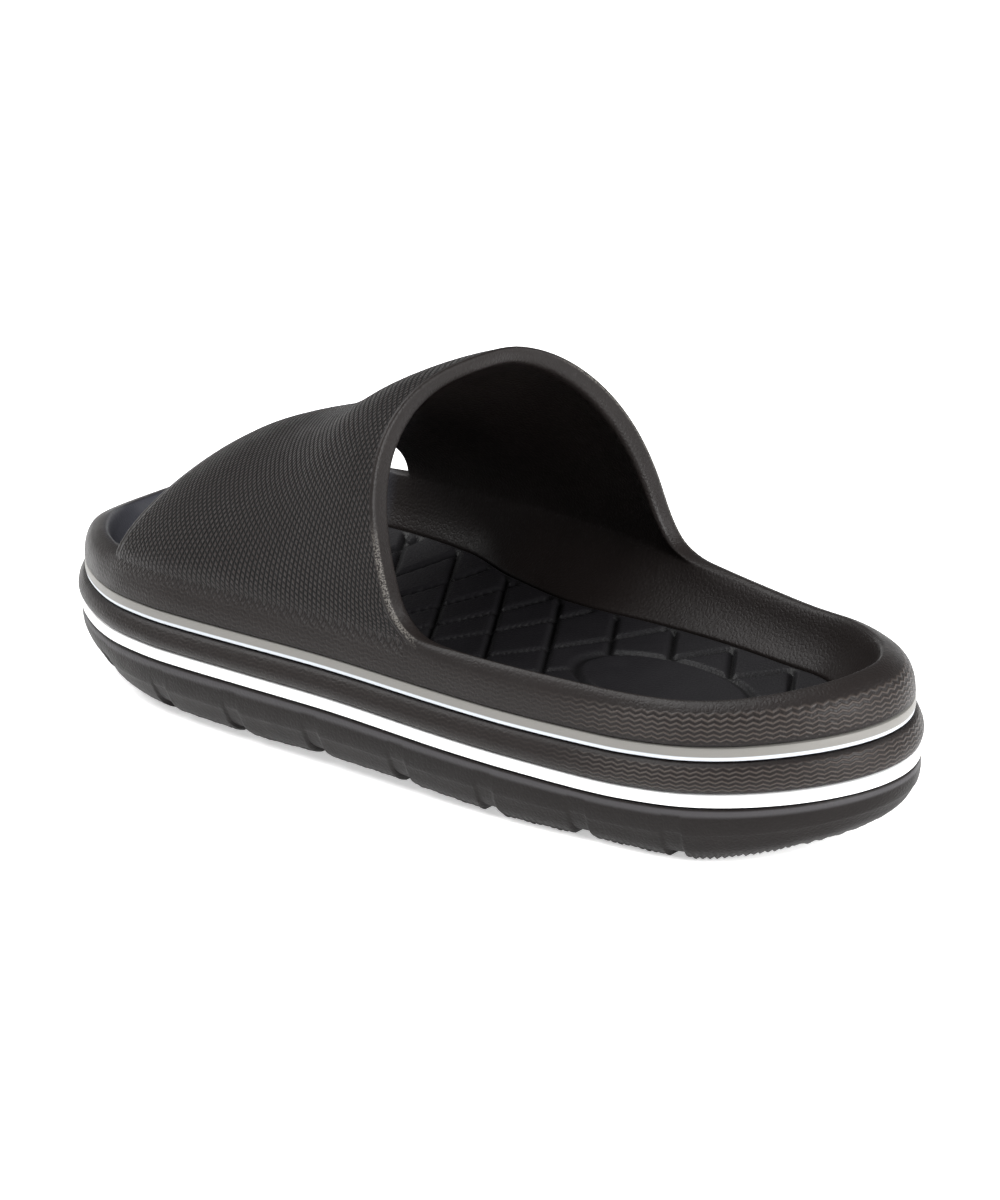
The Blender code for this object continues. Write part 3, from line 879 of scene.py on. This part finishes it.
class Finish:
    """A material with one Principled shader."""

    def __init__(self, name, colour, roughness, specular):
        self.material = bpy.data.materials.new(name)
        self.material.use_nodes = True
        self.nodes = self.material.node_tree.nodes
        self.links = self.material.node_tree.links
        self.shader = self.nodes["Principled BSDF"]
        self.feed("Base Color", (*colour, 1.0))
        self.feed("Roughness", roughness)
        self.feed("Specular IOR Level", specular)

    def plug(self, socket, value):
        """Links a value that varies, or sets one that doesn't."""
        if isinstance(value, Line):
            self.links.new(value.socket, socket)
        elif value is not None:
            socket.default_value = value

    def feed(self, name, value):
        self.plug(self.shader.inputs[name], value)

    def node(self, kind, settings, *values, output=0, **named):
        """Adds a node: its settings first, then the values or links of its sockets."""
        made = self.nodes.new(kind)
        for key, value in settings.items():
            setattr(made, key, value)
        for socket, value in zip(made.inputs, values):
            self.plug(socket, value)
        for key, value in named.items():
            self.plug(made.inputs[key.replace("_", " ")], value)
        return Line(self, made.outputs[output])

    def mark(self, name):
        """A value that the piece's points carry."""
        return self.node("ShaderNodeAttribute", {"attribute_name": name}, output="Fac")

    def flat(self):
        """Both coordinates of the piece's own flat map: the way round it and the way up."""
        made = self.node("ShaderNodeUVMap", {"uv_map": "flat"})
        split = self.node("ShaderNodeSeparateXYZ", {}, made)
        return split, Line(self, split.socket.node.outputs[1])

    def place(self):
        return self.node("ShaderNodeTexCoord", {}, output="Object")

    def grain(self, scale, detail=2.0, roughness=0.5):
        """Noise from 0 to 1 with its size in grains per metre."""
        return self.node(
            "ShaderNodeTexNoise", {}, Vector=self.place(), Scale=scale, Detail=detail, Roughness=roughness
        )

    def mix(self, factor, first, second):
        """Mixes two colours."""
        made = self.nodes.new("ShaderNodeMix")
        made.data_type = "RGBA"
        self.plug(made.inputs[0], factor)
        self.plug(made.inputs[6], (*first, 1.0) if isinstance(first, tuple) else first)
        self.plug(made.inputs[7], (*second, 1.0) if isinstance(second, tuple) else second)
        return Line(self, made.outputs[2])

    def relief(self, height, depth, under=None):
        """Bump of a height from 0 to 1 with its depth in metres."""
        return self.node("ShaderNodeBump", {}, Strength=1.0, Distance=depth, Height=height, Normal=under)


def shades(colour, factor):
    """A darker or lighter shade of a colour."""
    return tuple(channel * factor for channel in colour)


def foam(name, colour, roughness, specular):
    """Dark moulded foam: cloudy colour, uneven gloss. Its grain is returned for the reliefs over it."""
    finish = Finish(name, colour, roughness, specular)
    finish.feed("Roughness", roughness + (finish.grain(170.0, 4.0) - 0.5) * 0.16)
    settings = {"feature": "DISTANCE_TO_EDGE"}
    cells = finish.node("ShaderNodeTexVoronoi", settings, Vector=finish.place(), Scale=820.0)
    skin = cells.ramp(0.0, 0.30) * 0.55 + finish.grain(2300.0) * 0.45
    tone = finish.mix(finish.grain(55.0, 3.0), shades(colour, 0.75), shades(colour, 1.25))
    return finish, finish.relief(skin, 0.00007), tone


def wave_lines(round_way, climb, low, high):
    """Fine zigzag lines that run round the side, from one height to another; each limit fades."""
    swing = (round_way / WAVE_LENGTH).zigzag() * WAVE_SWING
    lines = ((climb + swing) / WAVE_PITCH).zigzag().ramp(0.35, 0.95)
    return lines * climb.ramp(*low) * climb.ramp(*high, 1.0, 0.0)


def outsole_finish():
    """Foam, darker and duller than the rest, with a painted highlight line along its upper edge."""
    finish, skin, tone = foam("outsole_foam", shades(BLACK_WARM, 0.75), 0.50, 0.13)
    rise = finish.flat()[1]
    # Painted highlight: a lighter line along the upper edge of the outsole.
    edge = rise.ramp(0.0150, 0.0164) * rise.ramp(0.0172, 0.0178, 1.0, 0.0)
    finish.feed("Normal", skin)
    finish.feed("Base Color", finish.mix(edge, tone, EDGE_HIGHLIGHT))
    return finish.material


def midsole_finish():
    """Foam with the waves round the heel, their lines coloured lighter as a painted highlight."""
    finish, skin, tone = foam("midsole_foam", BLACK_WARM, 0.46, 0.17)
    round_way, climb = finish.flat()
    from_heel = finish.node("ShaderNodeSeparateXYZ", {}, finish.place(), output=1)
    waves = wave_lines(round_way, climb, (0.0004, 0.0012), (0.0070, 0.0080))
    waves = waves * from_heel.ramp(-0.090, -0.060, 1.0, 0.12)
    finish.feed("Normal", finish.relief(waves, WAVE_DEPTH, skin))
    # Painted highlight: the wave lines are coloured lighter, as where light catches their ridges.
    finish.feed("Base Color", finish.mix(waves, tone, WAVE_RIDGE_HIGHLIGHT))
    return finish.material


def upper_finish():
    """Foam with the diamond knurl on the strap, waves round the heel and specks of painted highlight
    (glints) on the back corner; the knurl has painted highlight on its peaks and painted shade in its
    cuts, the waves have painted highlight on their lines, and the cup's inner wall at the toe has painted
    light.
    """
    finish, skin, tone = foam("upper_foam", BLACK_WARM, 0.45, 0.17)
    round_way, climb = finish.flat()
    run = finish.mark("run")
    over = finish.mark("over")
    from_back = finish.mark("from_back")
    to_front = finish.mark("to_front")
    out = finish.mark("out")
    first = (run / KNURL_RUN + over / KNURL_CLIMB).zigzag()
    second = (run / KNURL_RUN - over / KNURL_CLIMB).zigzag()
    low = climb.ramp(0.0120, 0.0300, 1.0, 0.0)
    knurl = first.ramp(0.10, 0.66).least(second.ramp(0.10, 0.66) * 0.8 + 0.2)
    inward = from_back - low * 0.0018
    field = climb.ramp(0.0050, 0.0150) * inward.ramp(0.0004, 0.0012) * to_front.ramp(0.0018, 0.0028) * out
    at_heel = from_back.ramp(-0.066, -0.036, 1.0, 0.12)
    waves = wave_lines(round_way, climb, (0.0004, 0.0010), (0.0068, 0.0084)) * out * at_heel
    back_line = (1.0 - (from_back - 0.0018).size().ramp(0.0002, 0.0006)) * low
    front_line = 1.0 - (to_front - 0.0012).size().ramp(0.0002, 0.0006)
    line = back_line.most(front_line) * climb.ramp(0.0080, 0.0120) * out
    soft = finish.relief(waves, WAVE_DEPTH, skin)
    rows = finish.relief(knurl * field, KNURL_DEPTH, soft)
    finish.feed("Normal", finish.relief(1.0 - line, 0.00030, rows))
    cut = (1.0 - knurl) * field
    finish.feed("Roughness", 0.45 + (finish.grain(170.0, 4.0) - 0.5) * 0.16 + cut * 0.30)
    # Painted highlight on the peaks of the knurl.
    tone = finish.mix(knurl * field, tone, shades(BLACK_WARM, 2.6))
    # Painted shade down in the cuts of the knurl.
    tone = finish.mix(cut, tone, shades(BLACK_WARM, 0.08))
    # Painted highlight: the wave lines are coloured lighter, as where light catches their ridges.
    tone = finish.mix(waves, tone, WAVE_RIDGE_HIGHLIGHT)
    # Painted highlight: specks of glint along the back corner of the strap.
    corner = out.ramp(0.90, 0.99) * from_back.size().ramp(0.0001, 0.0007, 1.0, 0.0)
    glints = corner * over.ramp(0.020, 0.035).most(over.ramp(-0.072, -0.060, 1.0, 0.0))
    glints = glints * finish.grain(2400.0, 3.0).ramp(0.40, 0.62)
    # Painted light: the inner wall of the cup at the toe is coloured lighter, as if lit from above.
    toe = to_front.ramp(-0.0120, -0.0030, 1.0, 0.0) * (1.0 - out)
    tone = finish.mix(toe, tone, TOE_WALL_LIGHT)
    finish.feed("Base Color", finish.mix(glints * climb.ramp(0.0080, 0.0120), tone, CORNER_GLINTS))
    return finish.material


def footbed_finish():
    """Cooler foam, with painted shade down in the grooves."""
    finish, skin, tone = foam("footbed_foam", BLACK_COOL, 0.50, 0.20)
    seam = finish.mark("seam")
    finish.feed("Normal", skin)
    # Painted shade: darker down in the grooves.
    finish.feed("Base Color", finish.mix(seam, tone, shades(BLACK_COOL, 0.08)))
    return finish.material


def stripe_finish(name, base, sheen, height, roughness):
    """Painted band, with a paler lower third that is a painted reflection of the floor."""
    finish = Finish(name, base, roughness, 0.4)
    rise = finish.flat()[1]
    finish.feed("Normal", finish.relief(finish.grain(1800.0), 0.00003))
    finish.feed("Roughness", roughness + finish.grain(120.0, 4.0) * 0.10)
    tone = finish.mix(finish.grain(70.0, 3.0), shades(base, 0.92), base)
    # Painted reflection: the lower third of the stripe is paler.
    finish.feed("Base Color", finish.mix((rise / height).ramp(-0.24, -0.12, 1.0, 0.0), tone, sheen))
    return finish.material


def stand(piece, node, material):
    """The piece stands for its CAD node and takes its finish."""
    piece.data.materials.clear()
    piece.data.materials.append(material)
    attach(piece, "root")
    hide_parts(node)


def make_shoe():
    """All six layers, from the ground up."""
    stand(make_outsole(), "outsole", outsole_finish())
    white = make_stripe("white_band", 2, WHITE_HEIGHT, 0.0)
    white_paint = stripe_finish("white_foam", WHITE, WHITE_SHEEN, WHITE_HEIGHT, 0.45)
    stand(white, "white_stripe", white_paint)
    stand(make_midsole(), "midsole", midsole_finish())
    grey = make_stripe("grey_band", 3, GREY_HEIGHT, GREY_INSET)
    grey_paint = stripe_finish("grey_foam", GREY, GREY_SHEEN, GREY_HEIGHT, 0.42)
    stand(grey, "grey_stripe", grey_paint)
    stand(make_upper(), "upper", upper_finish())
    stand(make_footbed(), "insole", footbed_finish())


def make_stage():
    """Pale floor, a white surround and soft lights."""
    bpy.ops.object.select_all(action="DESELECT")
    bpy.ops.mesh.primitive_plane_add(size=FLOOR_WIDTH, location=(0.0, 0.0, 0.0))
    floor = bpy.context.active_object
    floor.name = "floor"
    finish = Finish("floor_paper", (0.92, 0.92, 0.92), 0.8, 0.2)
    finish.feed("Emission Color", (1.0, 1.0, 1.0, 1.0))
    finish.feed("Emission Strength", FLOOR_GLOW)
    floor.data.materials.append(finish.material)
    world = bpy.data.worlds.new("surround")
    bpy.context.scene.world = world
    world.use_nodes = True
    background = world.node_tree.nodes["Background"]
    background.inputs["Color"].default_value = (1.0, 1.0, 1.0, 1.0)
    background.inputs["Strength"].default_value = SURROUND
    for name, place, width, power in LIGHTS:
        bpy.ops.object.light_add(type="AREA", location=place)
        light = bpy.context.active_object
        light.name = name
        light.data.shape = "DISK"
        light.data.size = width
        light.data.energy = power
        light.rotation_euler = Vector(place).to_track_quat("Z", "Y").to_euler()


def make_camera():
    """The camera stands where the photograph was taken, and is turned straight to the shoe."""
    bpy.ops.object.camera_add(location=CAMERA_PLACE)
    camera = bpy.context.active_object
    camera.name = "camera"
    tilt = (math.radians(CAMERA_TILT), 0.0, math.radians(CAMERA_HEADING))
    facing = Euler(tilt).to_quaternion()
    ahead = facing @ Vector((0.0, 0.0, -1.0))
    shoe = facing @ Vector((*SHOE_ASIDE, -1.0)).normalized()
    camera.rotation_euler = (ahead.rotation_difference(shoe) @ facing).to_euler()
    camera.data.sensor_width = 36.0
    camera.data.lens = CAMERA_LENS
    camera.data.clip_start = 0.01
    bpy.context.scene.camera = camera


make_camera()
make_shoe()
make_stage()
bpy.context.scene.view_settings.view_transform = "Standard"
